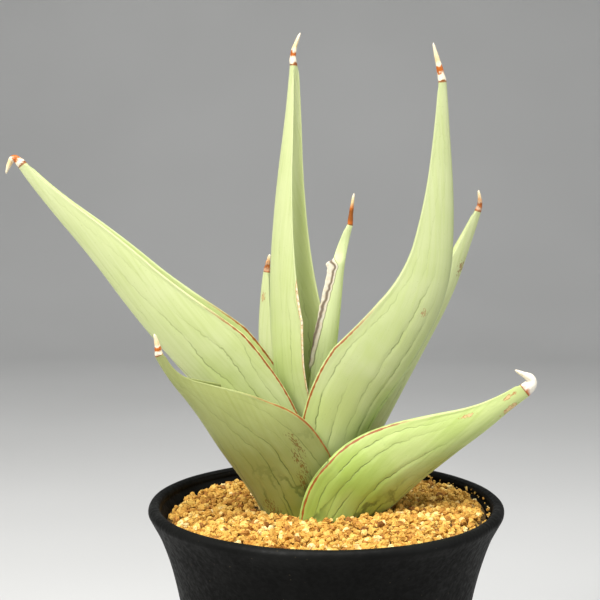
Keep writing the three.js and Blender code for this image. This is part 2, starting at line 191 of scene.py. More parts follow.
class NodeDesk:
    """Lays out the nodes of one material."""

    def __init__(self, name: str) -> None:
        """Starts a material with one Principled shader."""
        self.material = bpy.data.materials.new(name)
        self.material.use_nodes = True
        self.tree = self.material.node_tree
        self.tree.nodes.clear()
        self.shader = self.tree.nodes.new("ShaderNodeBsdfPrincipled")
        output = self.tree.nodes.new("ShaderNodeOutputMaterial")
        self.tree.links.new(self.shader.outputs[0], output.inputs[0])

    def feed(self, socket: Socket, value: object) -> None:
        """Links a socket to another, or sets its number or colour."""
        if isinstance(value, Socket):
            self.tree.links.new(value, socket)
        elif isinstance(value, tuple) and len(value) == 3 and socket.type == "RGBA":
            socket.default_value = (*value, 1.0)
        else:
            socket.default_value = value

    def shade(self, **values: object) -> None:
        """Feeds the shader's sockets, by their names with _ for a space."""
        for name, value in values.items():
            self.feed(self.shader.inputs[name.replace("_", " ")], value)

    def node(self, kind: str, inputs: dict, **settings: object) -> bpy.types.Node:
        """Adds a node, with its settings and what its inputs are fed.

        Args:
            kind: The node's type, without its ShaderNode prefix.
            inputs: A socket or value for each input, by name or number.
            settings: Values of the node's own properties.

        Returns:
            The node.
        """
        made = self.tree.nodes.new("ShaderNode" + kind)
        for name, value in settings.items():
            setattr(made, name, value)
        for name, value in inputs.items():
            self.feed(made.inputs[name], value)
        return made

    def layer(self, name: str) -> Socket:
        """The piece's own value of that name."""
        return self.node("Attribute", {}, attribute_name=name).outputs["Fac"]

    def place(self) -> Socket:
        """The place on the piece in metres."""
        return self.node("TexCoord", {}).outputs["Object"]

    def noise(self, place: object, scale: float, detail: float = 2.0) -> Socket:
        """Cloudy noise about a half at a place."""
        sockets = {"Vector": place, "Scale": scale, "Detail": detail}
        return self.node("TexNoise", sockets).outputs[0]

    def cells(self, place: object, scale: float) -> Socket:
        """Distance from the nearest of some scattered points."""
        return self.node("TexVoronoi", {"Vector": place, "Scale": scale}).outputs["Distance"]

    def reckon(self, how: str, *values: object) -> Socket:
        """One step of arithmetic, by Blender's name for it."""
        return self.node("Math", dict(enumerate(values)), operation=how).outputs[0]

    def times(self, first: object, second: object) -> Socket:
        """Two values multiplied."""
        return self.reckon("MULTIPLY", first, second)

    def plus(self, first: object, second: object) -> Socket:
        """Two values added."""
        return self.reckon("ADD", first, second)

    def less(self, first: object, second: object) -> Socket:
        """The first value less the second."""
        return self.reckon("SUBTRACT", first, second)

    def unsigned(self, value: object) -> Socket:
        """A value without its sign."""
        return self.reckon("ABSOLUTE", value)

    def span(self, value: object, low: float, high: float, to: tuple = (0.0, 1.0)) -> Socket:
        """Eases a value's span from low to high onto another, held at its ends."""
        sockets = {0: value, 1: low, 2: high, 3: to[0], 4: to[1]}
        return self.node("MapRange", sockets, interpolation_type="SMOOTHSTEP").outputs[0]

    def blend(self, amount: object, first: object, second: object) -> Socket:
        """Lays the second colour over the first by an amount."""
        return self.node("Mix", {0: amount, 6: first, 7: second}, data_type="RGBA").outputs[2]

    def ramp(self, value: object, *stops: tuple[float, Colour]) -> Socket:
        """A colour that runs through stops as a value goes from 0 to 1."""
        made = self.node("ValToRGB", {0: value})
        band = made.color_ramp
        while len(band.elements) < len(stops):
            band.elements.new(0.5)
        for element, (at, colour) in zip(band.elements, stops):
            element.position = at
            element.color = (*colour, 1.0)
        return made.outputs[0]

    def relief(self, height: object, depth: float) -> Socket:
        """A surface normal raised by a height, whose 0 to 1 is depth millimetres."""
        return self.node("Bump", {"Height": height, "Distance": depth * MM}).outputs[0]


@dataclass(frozen=True)
class LeafSkin:
    """Waxy green skin with thin wrinkles, red-brown margins and a horny banded spine.

    The four greens run from the foot to the tip. Half-widths are in millimetres: a line is whole up
    to the first and gone at the second.
    """

    name: str
    deep: Colour = (0.26, 0.34, 0.028)
    low: Colour = (0.43, 0.51, 0.165)
    middle: Colour = (0.55, 0.62, 0.275)
    pale: Colour = (0.60, 0.65, 0.34)
    wrinkle: Colour = (0.115, 0.155, 0.028)
    margin: Colour = (0.27, 0.072, 0.001)
    cream: Colour = (0.80, 0.60, 0.30)
    horn: Colour = (0.86, 0.77, 0.58)
    ember: Colour = (0.48, 0.115, 0.004)
    scorch: Colour = (0.085, 0.036, 0.006)
    knob: Colour = (0.86, 0.81, 0.70)
    old_scar: Colour = (0.20, 0.125, 0.018)
    paper: Colour = (0.70, 0.66, 0.55)
    streak_stretch: Point = (0.9, 0.035, 1.0)
    scar_stretch: Point = (2.9, 0.8, 1.0)
    streaked: float = 0.44
    clouded: float = 0.36
    channel_shade: float = 0.2
    crease_shade: float = 0.22
    line_halves: Span = (0.06, 0.27)
    net_halves: Span = (0.07, 0.30)
    shadow_halves: Span = (0.1, 1.3)
    margin_halves: Span = (0.24, 0.42)
    groove_halves: Span = (0.10, 0.42)
    groove_depth: float = 0.9
    jag: float = 0.32
    relief: float = 0.12
    roughness: Span = (0.41, 0.55)

    def plane(self, desk: NodeDesk, stretch: Point = (1.0, 1.0, 1.0)) -> Socket:
        """The place on the skin in millimetres, across from the keel and along the leaf, stretched."""
        flat = desk.node("CombineXYZ", {0: desk.layer("across"), 1: desk.layer("reach")}).outputs[0]
        return desk.node("Mapping", {"Vector": flat, "Scale": stretch}).outputs[0]

    def material(self) -> Material:
        """Colours the leaf from its layers.

        They are along, across, reach, edge, inside, line, line_ink, net, net_ink, red, dry, scar,
        scar_tone, fire and plain.

        Returns:
            The material.
        """
        desk = NodeDesk(self.name)
        along, line_ink = desk.layer("along"), desk.layer("line_ink")
        skin = self.plane(desk)
        streaks = desk.noise(self.plane(desk, self.streak_stretch), 1.0, 3.0)
        clouds = desk.noise(skin, 0.06, 3.0)
        stops = [(0.0, self.deep), (0.16, self.low), (0.42, self.middle), (1.0, self.pale)]
        green = desk.ramp(desk.plus(along, desk.span(clouds, 0.3, 0.7, (-0.06, 0.06))), *stops)
        green = desk.blend(desk.span(streaks, 0.35, 0.75, (0.0, self.streaked)), green, self.low)
        green = desk.blend(desk.span(clouds, 0.38, 0.72, (0.0, self.clouded)), green, self.pale)
        green = desk.blend(desk.times(desk.layer("inside"), self.channel_shade), green, self.low)
        freckles = desk.span(desk.cells(skin, 0.55), 0.05, 0.11, (0.22, 0.0))
        green = desk.blend(freckles, green, self.wrinkle)
        creases = desk.reckon(
            "MAXIMUM",
            desk.times(self.stroke(desk, "line", self.line_halves), line_ink),
            desk.times(self.stroke(desk, "net", self.net_halves), desk.layer("net_ink")),
        )
        shadows = desk.times(self.stroke(desk, "line", self.shadow_halves), line_ink)
        green = desk.blend(desk.times(shadows, self.crease_shade), green, self.low)
        green = desk.blend(creases, green, self.wrinkle)
        colour = self.rims(desk, self.marks(desk, green), along)
        height = desk.less(desk.times(streaks, 0.5), creases)
        grain = desk.times(desk.noise(skin, 3.2, 2.0), 0.25)
        desk.shade(
            Base_Color=self.thorn(desk, colour, along),
            Roughness=desk.span(clouds, 0.2, 0.8, self.roughness),
            Normal=desk.relief(desk.plus(height, grain), self.relief),
            Specular_IOR_Level=0.42,
            Sheen_Weight=0.08,
            Sheen_Roughness=0.45,
        )
        return desk.material

    def stroke(self, desk: NodeDesk, layer: str, halves: Span) -> Socket:
        """One on a jagged, broken line where a layer passes zero, easing off to either side.

        Args:
            desk: The material's desk.
            layer: The layer, a signed distance in millimetres.
            halves: The line's half-widths.

        Returns:
            The strength of the line.
        """
        skin = self.plane(desk)
        jags = desk.span(desk.noise(skin, 0.34, 3.0), 0.25, 0.75, (-self.jag, self.jag))
        away = desk.unsigned(desk.plus(desk.layer(layer), jags))
        breaks = desk.span(desk.noise(skin, 0.16, 2.0), 0.38, 0.52, (0.35, 1.0))
        return desk.times(desk.span(away, *halves, (1.0, 0.0)), breaks)

    def marks(self, desk: NodeDesk, colour: object) -> Socket:
        """Lays healed scars, outlined in brown, over a colour.

        Args:
            desk: The material's desk.
            colour: The colour below.

        Returns:
            The colour with its scars.
        """
        tone, mark = desk.layer("scar_tone"), desk.layer("scar")
        veins = desk.less(desk.noise(self.plane(desk, self.scar_stretch), 1.0, 5.0), 0.56)
        scar = desk.plus(mark, desk.times(veins, desk.reckon("MULTIPLY_ADD", tone, 5.0, 0.9)))
        present = desk.span(mark, 0.12, 0.3)
        rim = desk.times(desk.span(scar, 0.40, 0.50, (0.0, 0.8)), present)
        middle = desk.times(desk.span(scar, 0.54, 0.68, (0.0, 0.9)), present)
        colour = desk.blend(rim, colour, desk.blend(tone, self.ember, self.scorch))
        return desk.blend(middle, colour, desk.blend(tone, self.cream, self.old_scar))

    def rims(self, desk: NodeDesk, colour: object, along: object) -> Socket:
        """Draws the margins: red-brown lines that fade upwards, and dried cream stretches.

        A line runs along each side of the crest, where the layer edge is zero.

        Args:
            desk: The material's desk.
            colour: The colour below.
            along: Share of the blade.

        Returns:
            The colour with its margins.
        """
        place, dry, fire = desk.place(), desk.layer("dry"), desk.layer("fire")
        waver = desk.noise(place, 420.0, 2.0)
        off_line = desk.plus(
            desk.unsigned(desk.layer("edge")), desk.span(waver, 0.3, 0.7, (-0.12, 0.12))
        )
        line = desk.span(off_line, *self.margin_halves, (1.0, 0.0))
        edging = desk.times(line, desk.span(along, 0.9, 1.0, (0.35, 0.0)))
        colour = desk.blend(edging, colour, self.pale)
        tinted = desk.blend(desk.span(waver, 0.45, 0.75, (0.0, 0.5)), self.margin, self.ember)
        colour = desk.blend(desk.times(line, desk.layer("red")), colour, tinted)
        specks = desk.span(desk.cells(place, 1300.0), 0.16, 0.3, (0.75, 0.0))
        papery = desk.span(desk.noise(place, 900.0, 3.0), 0.4, 0.62)
        papery = desk.blend(papery, self.cream, self.horn)
        papery = desk.blend(specks, papery, self.scorch)
        papery = desk.blend(desk.times(fire, 0.7), papery, self.paper)
        colour = desk.blend(desk.span(dry, 0.0, 0.22), colour, papery)
        deeper = desk.unsigned(desk.less(dry, self.groove_depth))
        groove = desk.times(desk.span(deeper, *self.groove_halves, (0.8, 0.0)), fire)
        colour = desk.blend(groove, colour, self.scorch)
        outline = desk.span(desk.unsigned(dry), 0.04, 0.2, (0.6, 0.0))
        return desk.blend(outline, colour, desk.blend(fire, self.ember, self.scorch))

    def thorn(self, desk: NodeDesk, colour: object, along: object) -> Socket:
        """Finishes the spine: a red-brown ring, then bands, a glow or plain horn.

        Args:
            desk: The material's desk.
            colour: The colour below.
            along: Share of the blade, going on past 1 over the spine.

        Returns:
            The colour with its spine.
        """
        uneven = desk.span(desk.noise(desk.place(), 700.0, 2.0), 0.3, 0.7, (-0.05, 0.05))
        past = desk.less(desk.plus(along, uneven), 1.0)
        margin, ember, cream, horn = self.margin, self.ember, self.cream, self.horn
        bands = [(0.0, margin), (0.07, horn), (0.17, horn), (0.25, ember)]
        bands += [(0.37, ember), (0.43, horn), (0.54, cream), (1.0, horn)]
        glow = [(0.0, ember), (0.10, ember), (0.22, margin), (0.42, margin)]
        glow += [(0.56, ember), (0.76, cream), (1.0, horn)]
        plain = [(0.0, ember), (0.12, self.knob), (1.0, horn)]
        spine = desk.blend(desk.layer("fire"), desk.ramp(past, *bands), desk.ramp(past, *glow))
        spine = desk.blend(desk.layer("plain"), spine, desk.ramp(past, *plain))
        colour = desk.blend(desk.span(along, 0.996, 1.0), colour, margin)
        return desk.blend(desk.span(along, 1.0, 1.02), colour, spine)


@dataclass(frozen=True)
class PotFinish:
    """Matt black stoneware, mottled, a little paler where the lip is rubbed."""

    body: Colour = (0.0022, 0.0023, 0.002)
    rubbed: Colour = (0.011, 0.0112, 0.0105)
    dust: Colour = (0.10, 0.08, 0.045)
    lip_heights: Span = (0.098, 0.1045)
    roughness: Span = (0.52, 0.70)
    lip_polish: float = 0.14

    def material(self) -> Material:
        """Mottles the black with cloudy noise, specks of dust and a fine orange-peel relief.

        Returns:
            The material.
        """
        desk = NodeDesk("matt_black_stoneware")
        place = desk.place()
        clouds, peel = desk.noise(place, 60.0, 4.0), desk.noise(place, 620.0, 3.0)
        height = desk.node("SeparateXYZ", {0: place}).outputs[2]
        worn = desk.span(clouds, 0.3, 0.7, (0.35, 1.0))
        lip = desk.times(desk.span(height, *self.lip_heights), worn)
        colour = desk.blend(desk.span(clouds, 0.35, 0.75, (0.0, 0.3)), self.body, self.rubbed)
        colour = desk.blend(desk.times(lip, 0.7), colour, self.rubbed)
        specks = desk.span(desk.cells(place, 420.0), 0.05, 0.12, (0.5, 0.0))
        specks = desk.times(specks, desk.span(clouds, 0.45, 0.65))
        colour = desk.blend(specks, colour, self.dust)
        relief = desk.plus(peel, desk.times(desk.noise(place, 190.0, 2.0), 1.4))
        rough = desk.span(peel, 0.3, 0.7, self.roughness)
        desk.shade(
            Base_Color=colour,
            Roughness=desk.less(rough, desk.times(lip, self.lip_polish)),
            Normal=desk.relief(relief, 0.16),
            Specular_IOR_Level=0.07,
        )
        return desk.material


@dataclass(frozen=True)
class GritFinish:
    """Golden crushed stone, each grain with its own tone from cream to rust."""

    name: str = "golden_grit"
    # Below 1, every colour is darkened as painted shadow.
    shadow: float = 1.0
    pore: Colour = (0.30, 0.13, 0.03)
    golds: tuple[tuple[float, Colour], ...] = (
        (0.0, (0.20, 0.08, 0.016)),
        (0.14, (0.40, 0.175, 0.034)),
        (0.38, (0.56, 0.295, 0.052)),
        (0.66, (0.69, 0.42, 0.088)),
        (0.86, (0.79, 0.54, 0.155)),
        (1.0, (0.88, 0.69, 0.32)),
    )

    def dimmed(self, colour: Colour) -> Colour:
        """A colour darkened by the finish's painted shadow."""
        return tuple(value * self.shadow for value in colour)

    def material(self) -> Material:
        """Runs each grain's own tone through golds, with pores and a gritty relief.

        Returns:
            The material.
        """
        desk = NodeDesk(self.name)
        place = desk.place()
        uneven = desk.span(desk.noise(place, 800.0), 0.3, 0.7, (-0.08, 0.08))
        tone = desk.plus(desk.layer("tone"), uneven)
        colour = desk.ramp(tone, *((at, self.dimmed(gold)) for at, gold in self.golds))
        pores = desk.span(desk.cells(place, 2600.0), 0.08, 0.22, (0.25, 0.0))
        colour = desk.blend(pores, colour, self.dimmed(self.pore))
        desk.shade(
            Base_Color=colour,
            Roughness=desk.span(desk.noise(place, 1500.0), 0.3, 0.7, (0.72, 0.92)),
            Normal=desk.relief(desk.noise(place, 2600.0, 3.0), 0.08),
            Specular_IOR_Level=0.3,
        )
        return desk.material


@dataclass(frozen=True)
class EarthFinish:
    """A crumbly or fleshy finish for what lies inside the pot."""

    name: str
    dark: Colour
    light: Colour
    lump: float
    relief: float = 0.8
    roughness: float = 0.85

    def material(self) -> Material:
        """Blends two tones over lumps of a size in millimetres, with crumbs in the relief.

        Returns:
            The material.
        """
        desk = NodeDesk(self.name)
        place = desk.place()
        lumps = desk.cells(place, 1000.0 / self.lump)
        crumbs = desk.noise(place, 3000.0 / self.lump, 4.0)
        colour = desk.blend(desk.span(lumps, 0.1, 0.8), self.light, self.dark)
        colour = desk.blend(desk.span(crumbs, 0.4, 0.7, (0.0, 0.6)), colour, self.dark)
        desk.shade(
            Base_Color=colour,
            Roughness=desk.span(crumbs, 0.2, 0.8, (self.roughness - 0.1, self.roughness + 0.08)),
            Normal=desk.relief(desk.less(crumbs, lumps), self.relief),
        )
        return desk.material


# ---- Leaves ----


class Margin(Enum):
    """Which of a leaf's two margins a mark lies on."""

    NONE = 0
    LEFT_HANDED = -1
    RIGHT_HANDED = 1


@dataclass(frozen=True)
class Girth:
    """A leaf's depth or width at its foot, at its most, and where the spine begins."""

    foot: float
    most: float
    end: float


@dataclass(frozen=True)
class Scar:
    """A healed mark: its place as shares along the blade and across from the keel, and its size."""

    along: float
    across: float
    length: float
    width: float
    tone: float = 0.0


@dataclass(frozen=True)
class Spots:
    """Where the points of a leaf's grid lie on its skin. Lengths are in millimetres."""

    share: Array
    reach: Array
    from_keel: Array
    half: Array
    nearer: Array
    side: Array

    def fraction(self) -> Array:
        """Place across the back, from -1 at one margin through 0 at the keel to 1 at the other."""
        return self.from_keel / np.maximum(self.half, 1e-3)


@dataclass(frozen=True)
class Leaf:
    """One leaf, a canoe whose depth and width follow its blade, ending in a horny spine."""

    node: str
    root: tuple[float, float]
    heading: float
    turn: float
    blade: float
    leans: tuple[float, ...]
    depth: Girth
    width: Girth
    peak: float
    shoulder: float
    fall: float
    spine: float
    spine_leans: tuple[float, ...]
    seed: int
    red_reach: float = 0.0
    wrinkles: float = 1.0
    count: float = 4.6
    net: float = 0.0
    dry_on: Margin = Margin.NONE
    dry: tuple[float, float, float] = (0.0, 0.0, 0.0)
    flange: float = 0.0
    fire: float = 0.0
    plain: float = 0.0
    scars: tuple[Scar, ...] = ()

    FOOT_HEIGHT = 88.6
    TURN_DONE_AT = 0.4
    BACK_COLUMNS = 96
    LIP_COLUMNS = 7
    TROUGH_COLUMNS = 40
    BLADE_ROWS = 230
    SPINE_ROWS = 36
    TROUGH_WIDTH = 0.86
    SPINE_TIP = 0.7
    PATH_STEPS = 800
    BACK_ENDS_AT = 0.985
    EDGE_ON_LIP = 0.55
    LINE_WIDTH = 0.55
    LINE_DEPTH = 0.30
    NET_WIDTH = 0.5
    NET_DEPTH = 0.12
    BROAD_DENTS = 0.30
    FINE_DENTS = 0.10
    SKIN_SHIFT_ALONG = 37.0
    SKIN_SHIFT_ACROSS = 211.0
    NO_STRIP = -9.0

    def path(self, start: Array, shares: Array, leans: tuple[float, ...], length: float) -> Array:
        """Points along a curve in the leaf's upright plane.

        The lean from upright runs straight between its listed values, and short chords at that lean
        are added up from the start.

        Args:
            start: Where the curve begins.
            shares: Shares of its length.
            leans: Its lean from upright, in degrees, at even shares.
            length: Its length.

        Returns:
            One point for each share.
        """
        fine = np.linspace(0, 1, self.PATH_STEPS + 1)
        lean = np.radians(self.bend((fine[1:] + fine[:-1]) / 2, leans))
        run = np.concatenate([[0.0], np.cumsum(np.sin(lean))]) * length / self.PATH_STEPS
        rise = np.concatenate([[0.0], np.cumsum(np.cos(lean))]) * length / self.PATH_STEPS
        run, rise = np.interp(shares, fine, run)[:, None], np.interp(shares, fine, rise)[:, None]
        return start + run * self.outwards() + rise * UP

    def bend(self, shares: Array, leans: tuple[float, ...]) -> Array:
        """The lean at some shares of a curve, running straight between its listed values."""
        return np.interp(shares, np.linspace(0, 1, len(leans)), leans)

    def outwards(self) -> Array:
        """The level direction that the leaf grows in."""
        angle = math.radians(self.heading)
        return np.array([math.cos(angle), math.sin(angle), 0.0])

    def girth(self, size: Girth, share: Array) -> Array:
        """Depth or width along the blade: an eased rise to its peak, then a power law to its end."""
        past = np.clip((share - self.peak) / (1 - self.peak), 0, 1)
        rise = size.foot + (size.most - size.foot) * smooth(share / self.peak)
        fall = size.end + (size.most - size.end) * (1 - past**self.shoulder) ** self.fall
        return np.where(share < self.peak, rise, fall)

    def frames(self, leans: Array, share: Array) -> tuple[Array, Array, Array]:
        """The straight, inward and side directions at each share, turned gently about the leaf."""
        angle = np.radians(leans)[:, None]
        turn = (math.radians(self.turn) * smooth(share / self.TURN_DONE_AT))[:, None]
        sideways = np.cross(UP, self.outwards())
        straight = -self.outwards() * np.cos(angle) + UP * np.sin(angle)
        inward = straight * np.cos(turn) + sideways * np.sin(turn)
        side = sideways * np.cos(turn) - straight * np.sin(turn)
        return straight, inward, side

    def rows(self) -> dict[str, Array]:
        """Every row's share, keel point, directions and section sizes, blade first and then spine.

        Returns:
            The arrays by name, one value for each row.
        """
        share = np.linspace(0, 1, self.BLADE_ROWS)
        straight, inward, side = self.frames(self.bend(share, self.leans), share)
        depth, width = self.girth(self.depth, share), self.girth(self.width, share)
        start = np.array([*self.root, self.FOOT_HEIGHT])
        middle = self.path(start, share, self.leans, self.blade) + straight * depth[:, None] / 2
        trough = depth * (0.05 + 0.67 * (1 - share**1.5))
        reach = np.linspace(0, 1, self.SPINE_ROWS + 1)[1:]
        spine_leans = self.bend(reach, self.spine_leans)
        _, spine_inward, spine_side = self.frames(spine_leans, np.ones_like(reach))
        spine_middle = self.path(middle[-1], reach, self.spine_leans, self.spine)
        taper = np.sqrt(np.clip(1 - (np.clip(reach - 0.88, 0, 1) / 0.121) ** 2, 0, 1))
        knots = 1 + 0.05 * np.sin(reach * 19 + self.seed) * hump(reach, 0.1, 0.9, 0.2)
        size = (self.depth.end + (self.SPINE_TIP - self.depth.end) * reach) * taper * knots
        ratio = 1 + (self.width.end / self.depth.end - 1) * (1 - reach)
        round_off = smooth((share - 0.975) / 0.05)
        return {
            "along": np.concatenate([share, 1 + reach]),
            "middle": np.vstack([middle, spine_middle]),
            "inward": np.vstack([inward, spine_inward]),
            "side": np.vstack([side, spine_side]),
            "depth": np.concatenate([depth, size]),
            "width": np.concatenate([width, size * ratio]),
            "trough": np.concatenate([trough, size * 0.05]),
            "round": np.concatenate([round_off, smooth(0.5 + reach / 0.3)]),
            "reach": np.concatenate([share * self.blade, self.blade + reach * self.spine]),
        }

    def section(self, row: dict[str, Array]) -> tuple[Array, Array]:
        """Each row's closed outline, as places across and inwards from the keel.

        The back is half an ellipse, each margin a small half-round, and the trough half an ellipse
        between them. Over the spine the trough fills and bulges until the outline is round.

        Args:
            row: The rows' sizes.

        Returns:
            The places across and inwards, a row each.
        """
        width, depth = row["width"][:, None], row["depth"][:, None]
        rounding = row["round"][:, None]
        lip = np.minimum(0.07 * width, 0.45 * row["trough"][:, None]) * (1 - rounding)
        crest = depth * (1 - 0.5 * rounding) - lip
        trough = (row["trough"][:, None] - lip) * (1 - rounding) - 0.5 * depth * rounding
        half, slim = width / 2, (1 - self.TROUGH_WIDTH) * width / 4
        back = np.linspace(0, np.pi, self.BACK_COLUMNS, endpoint=False)
        turn = np.linspace(0, np.pi, self.LIP_COLUMNS, endpoint=False)
        inner = np.linspace(np.pi, 0, self.TROUGH_COLUMNS, endpoint=False)
        across = np.hstack(
            [
                half * np.cos(back),
                -(half - slim) - slim * np.cos(turn),
                self.TROUGH_WIDTH * half * np.cos(inner),
                (half - slim) - slim * np.cos(turn),
            ]
        )
        inwards = np.hstack(
            [
                crest * (1 - np.sin(back)),
                crest + lip * np.sin(turn),
                crest - trough * np.sin(inner),
                crest + lip * np.sin(turn),
            ]
        )
        return across, inwards

    def measure(self, row: dict[str, Array], across: Array, inwards: Array) -> tuple[Spots, Array, Array]:
        """Measures each row's outline from its keel and from the middles of its two margins.

        The coloured line lies beside a margin's middle, a fixed share of the half-round away.

        Args:
            row: The rows' sizes.
            across: The outlines' places across.
            inwards: The outlines' places inwards.

        Returns:
            The points' spots, their distance from the coloured line, and one where they are inside.
        """
        ahead, above = np.diff(across, append=across[:, :1]), np.diff(inwards, append=inwards[:, :1])
        step = np.hypot(ahead, above)
        length, whole = np.cumsum(step, 1) - step, step.sum(1, keepdims=True)
        half_lip = self.LIP_COLUMNS // 2
        first, second = self.BACK_COLUMNS + half_lip, -half_lip - 1
        right = length[:, [second]] - length
        right = np.where(right > whole / 2, right - whole, right)
        half = length[:, [self.BACK_COLUMNS // 2]]
        spots = Spots(
            share=np.broadcast_to(row["along"][:, None], across.shape),
            reach=np.broadcast_to(row["reach"][:, None], across.shape),
            from_keel=half - length,
            half=half,
            nearer=np.minimum(np.abs(length - length[:, [first]]), np.abs(right)),
            side=np.sign(across),
        )
        inside = np.zeros_like(across)
        inside[:, first:second] = 1.0
        lip = length[:, [first]] - length[:, [self.BACK_COLUMNS]]
        return spots, spots.nearer - self.EDGE_ON_LIP * lip, inside

    def surface(self) -> tuple[Array, dict[str, Array]]:
        """The leaf's points on their grid, wrinkled, with the layers that its skin reads.

        Returns:
            The points, shaped rows by columns by three, and the layers.
        """
        row = self.rows()
        across, inwards = self.section(row)
        spots, edge, inside = self.measure(row, across, inwards)
        layers = {
            "along": spots.share,
            "reach": spots.reach + self.SKIN_SHIFT_ALONG * self.seed,
            "edge": edge,
            "inside": inside,
            "across": spots.from_keel + self.SKIN_SHIFT_ACROSS * self.seed,
            "fire": np.full_like(across, self.fire),
            "plain": np.full_like(across, self.plain),
        }
        layers |= self.lines(spots) | self.weather(spots)
        sink = self.sunk(spots, layers, smooth(row["width"] / 9)[:, None])
        slope_x, slope_y = np.gradient(across, axis=1), np.gradient(inwards, axis=1)
        size = np.maximum(np.hypot(slope_x, slope_y), 1e-6)
        across, inwards = across + sink * slope_y / size, inwards - sink * slope_x / size
        if self.flange:
            across, inwards = self.tear(spots, across, inwards)
        centre = row["depth"][:, None] / 2
        points = (
            row["middle"][:, None]
            + row["side"][:, None] * across[..., None]
            + row["inward"][:, None] * (inwards - centre)[..., None]
        )
        return points, layers

    def sunk(self, spots: Spots, layers: dict[str, Array], stout: Array) -> Array:
        """How far each point of the back sinks: in narrow bells at the lines, and in broad soft dents.

        Args:
            spots: The points' spots.
            layers: The layers with the lines.
            stout: One where the leaf is wide enough for its full dents.

        Returns:
            The depths in millimetres, none near the margins and on the spine.
        """
        share, reach, keel = spots.share, spots.reach, spots.from_keel
        columns = np.arange(share.shape[1]) < self.BACK_COLUMNS
        back = columns[None, :] & (share < self.BACK_ENDS_AT)
        ink = layers["line_ink"] * np.exp(-((layers["line"] / self.LINE_WIDTH) ** 2)) * self.LINE_DEPTH
        ink = ink + layers["net_ink"] * np.exp(-((layers["net"] / self.NET_WIDTH) ** 2)) * self.NET_DEPTH
        dents = self.BROAD_DENTS * (1 + rolling(keel / 7.0, reach / 22.0, self.seed + 5)) / 2
        dents = dents + self.FINE_DENTS * (1 + rolling(keel / 2.6, reach / 16.0, self.seed + 6)) / 2
        quiet = smooth(spots.nearer / 1.6) * (1 - smooth((share - 0.9) / 0.09))
        return (ink + dents * stout) * quiet * back

    def tear(self, spots: Spots, across: Array, inwards: Array) -> tuple[Array, Array]:
        """Lifts the dried strip's rim raggedly, with a spur at its end, and draws the margin in above.

        Args:
            spots: The points' spots.
            across: The outlines' places across.
            inwards: The outlines' places inwards.

        Returns:
            The places across and inwards, changed.
        """
        share, (start, end, _) = spots.share, self.dry
        here = spots.side == self.dry_on.value
        ragged = 0.9 + 0.16 * rolling(share * 90, share * 0, self.seed + 9)
        spur = 1 + 1.3 * hump(share, end - 0.02, end, 0.012)
        lift = spur * hump(share, start, end, 0.03) * np.exp(-((spots.nearer / 0.8) ** 2)) * ragged
        torn = smooth((share - end + 0.01) / 0.04) * (1 - smooth((share - 0.94) / 0.055))
        return across * (1 - 0.55 * torn * here), inwards + self.flange * lift * here

    def lines(self, spots: Spots) -> dict[str, Array]:
        """The wrinkles: signed distances from them in millimetres, and how strongly each is drawn.

        Lines run at even shares across the back and waver. A net of finer ones is where a rolling
        height passes zero near the foot.

        Args:
            spots: The points' spots.

        Returns:
            The layers line, line_ink, net and net_ink.
        """
        fraction, share, reach = spots.fraction(), spots.share, spots.reach
        slow = rolling(fraction * 2.2, reach / 17.0, self.seed)
        quick = rolling(fraction * 3, reach / 4.5, self.seed + 1)
        waver = 0.30 * slow + 0.075 * quick
        place = fraction * self.count + waver + 0.37 * self.seed
        spacing = spots.half / self.count
        which = np.round(place)
        strength = rolling(which * 3.7 + 0.5, reach / 26.0 + which * 5.3, self.seed + 2)
        fade = 1 - smooth((share - 0.22) / 0.55)
        ink = np.clip(0.50 + 0.9 * strength, 0, 1) * (0.12 + 0.88 * fade) * self.wrinkles
        waviness = rolling(spots.from_keel / 4.4, reach / 13.0, self.seed + 3)
        patches = smooth(0.95 + 1.4 * rolling(spots.from_keel / 6, reach / 9, self.seed + 4))
        foot = (1 - smooth((share - 0.16) / 0.34)) * patches
        return {
            "line": np.sin(np.pi * place) * spacing / np.pi,
            "line_ink": ink * hump(share, -1.0, 0.93, 0.1),
            "net": waviness * 2.4,
            "net_ink": np.clip(0.85 * foot * self.net, 0, 1),
        }

    def weather(self, spots: Spots) -> dict[str, Array]:
        """Red margins, dried stretches and scars.

        Args:
            spots: The points' spots.

        Returns:
            The layers red, dry, scar and scar_tone.
        """
        share, reach, beside_keel = spots.share, spots.reach, spots.fraction()
        dry = np.full_like(share, self.NO_STRIP)
        if self.dry_on is not Margin.NONE:
            start, end, width = self.dry
            slow = rolling(reach / 6.0, reach * 0, self.seed + 7)
            quick = rolling(reach / 1.2, reach * 0, self.seed)
            ragged = width * (0.9 + (0.08 * slow + 0.07 * quick))
            ragged = ragged * (0.45 + 0.55 * smooth((share - start) / (end - start)))
            strip = ragged * hump(share, start, end, 0.04) - spots.nearer - 0.25
            dry = np.where(spots.side == self.dry_on.value, strip, dry)
        red = 1 - smooth((share - self.red_reach) / 0.16 + 0.5) if self.red_reach else share * 0
        scar, tone = share * 0, share * 0
        for mark in self.scars:
            ahead = (reach - mark.along * self.blade) / (mark.length / 2)
            beside = (beside_keel - mark.across) * spots.half / (mark.width / 2)
            away = ahead**2 + beside**2
            frayed = 0.3 * rolling(reach / 0.9, beside_keel * spots.half / 0.8, self.seed + 8)
            value = np.exp(-0.7 * away) + frayed * np.exp(-0.35 * away)
            tone = np.where(value > scar, mark.tone, tone)
            scar = np.maximum(scar, value)
        return {"red": red, "dry": dry, "scar": scar, "scar_tone": tone}

